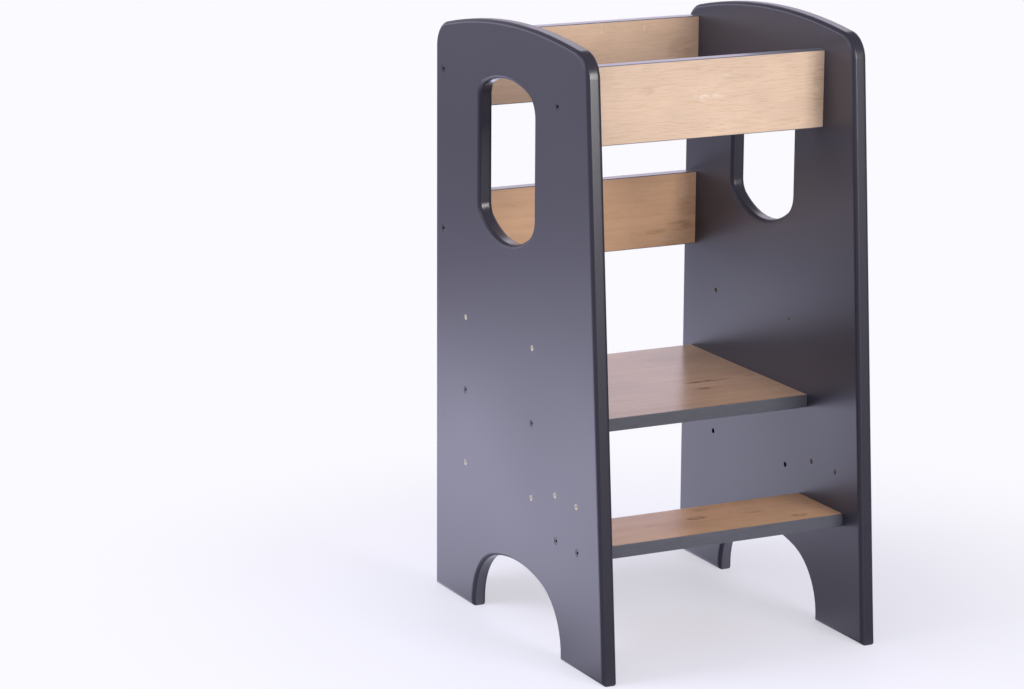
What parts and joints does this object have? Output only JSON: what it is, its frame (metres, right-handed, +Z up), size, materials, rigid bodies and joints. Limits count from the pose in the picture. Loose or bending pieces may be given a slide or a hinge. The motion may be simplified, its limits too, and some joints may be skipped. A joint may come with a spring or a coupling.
{
  "type": "learning tower",
  "caption": "Toddler kitchen helper stool: two anthracite side panels joined by oak decor rails, a height-adjustable standing board and a step.",
  "frame": {"origin": "on the floor, under the middle of the side panels", "axes": "+X from the left side panel to the right one, +Y from the step to the back rails, +Z up"},
  "size_m": [0.427, 0.521, 0.8549],
  "materials": {
    "panel_lacquer": "semi-matt anthracite lacquer on fibreboard",
    "oak_decor": "fine-grained light oak decor, semi-matt",
    "edge_band": "grey edge band",
    "screw_steel": "dark zinc",
    "dowel_beech": "raw beech"
  },
  "bodies": {
    "root": {"left_side_panel": "panel_lacquer", "right_side_panel": "panel_lacquer", "platform_board": "oak_decor", "platform_front_edge_band": "edge_band", "platform_back_edge_band": "edge_band", "step_board": "oak_decor", "step_front_edge_band": "edge_band", "step_back_edge_band": "edge_band", "top_front_rail_board": "oak_decor", "top_front_rail_lower_edge_band": "edge_band", "top_front_rail_upper_edge_band": "edge_band", "top_back_rail_board": "oak_decor", "top_back_rail_lower_edge_band": "edge_band", "top_back_rail_upper_edge_band": "edge_band", "lower_back_rail_board": "oak_decor", "lower_back_rail_lower_edge_band": "edge_band", "lower_back_rail_upper_edge_band": "edge_band", "top_front_rail_screws": "screw_steel", "top_back_rail_screws": "screw_steel", "lower_back_rail_screws": "screw_steel", "left_platform_screws": "screw_steel", "right_platform_screws": "screw_steel", "left_step_screws": "screw_steel", "right_step_screws": "screw_steel", "top_front_rail_dowels": "dowel_beech", "top_back_rail_dowels": "dowel_beech", "lower_back_rail_dowels": "dowel_beech"}
  },
  "joints": []
}
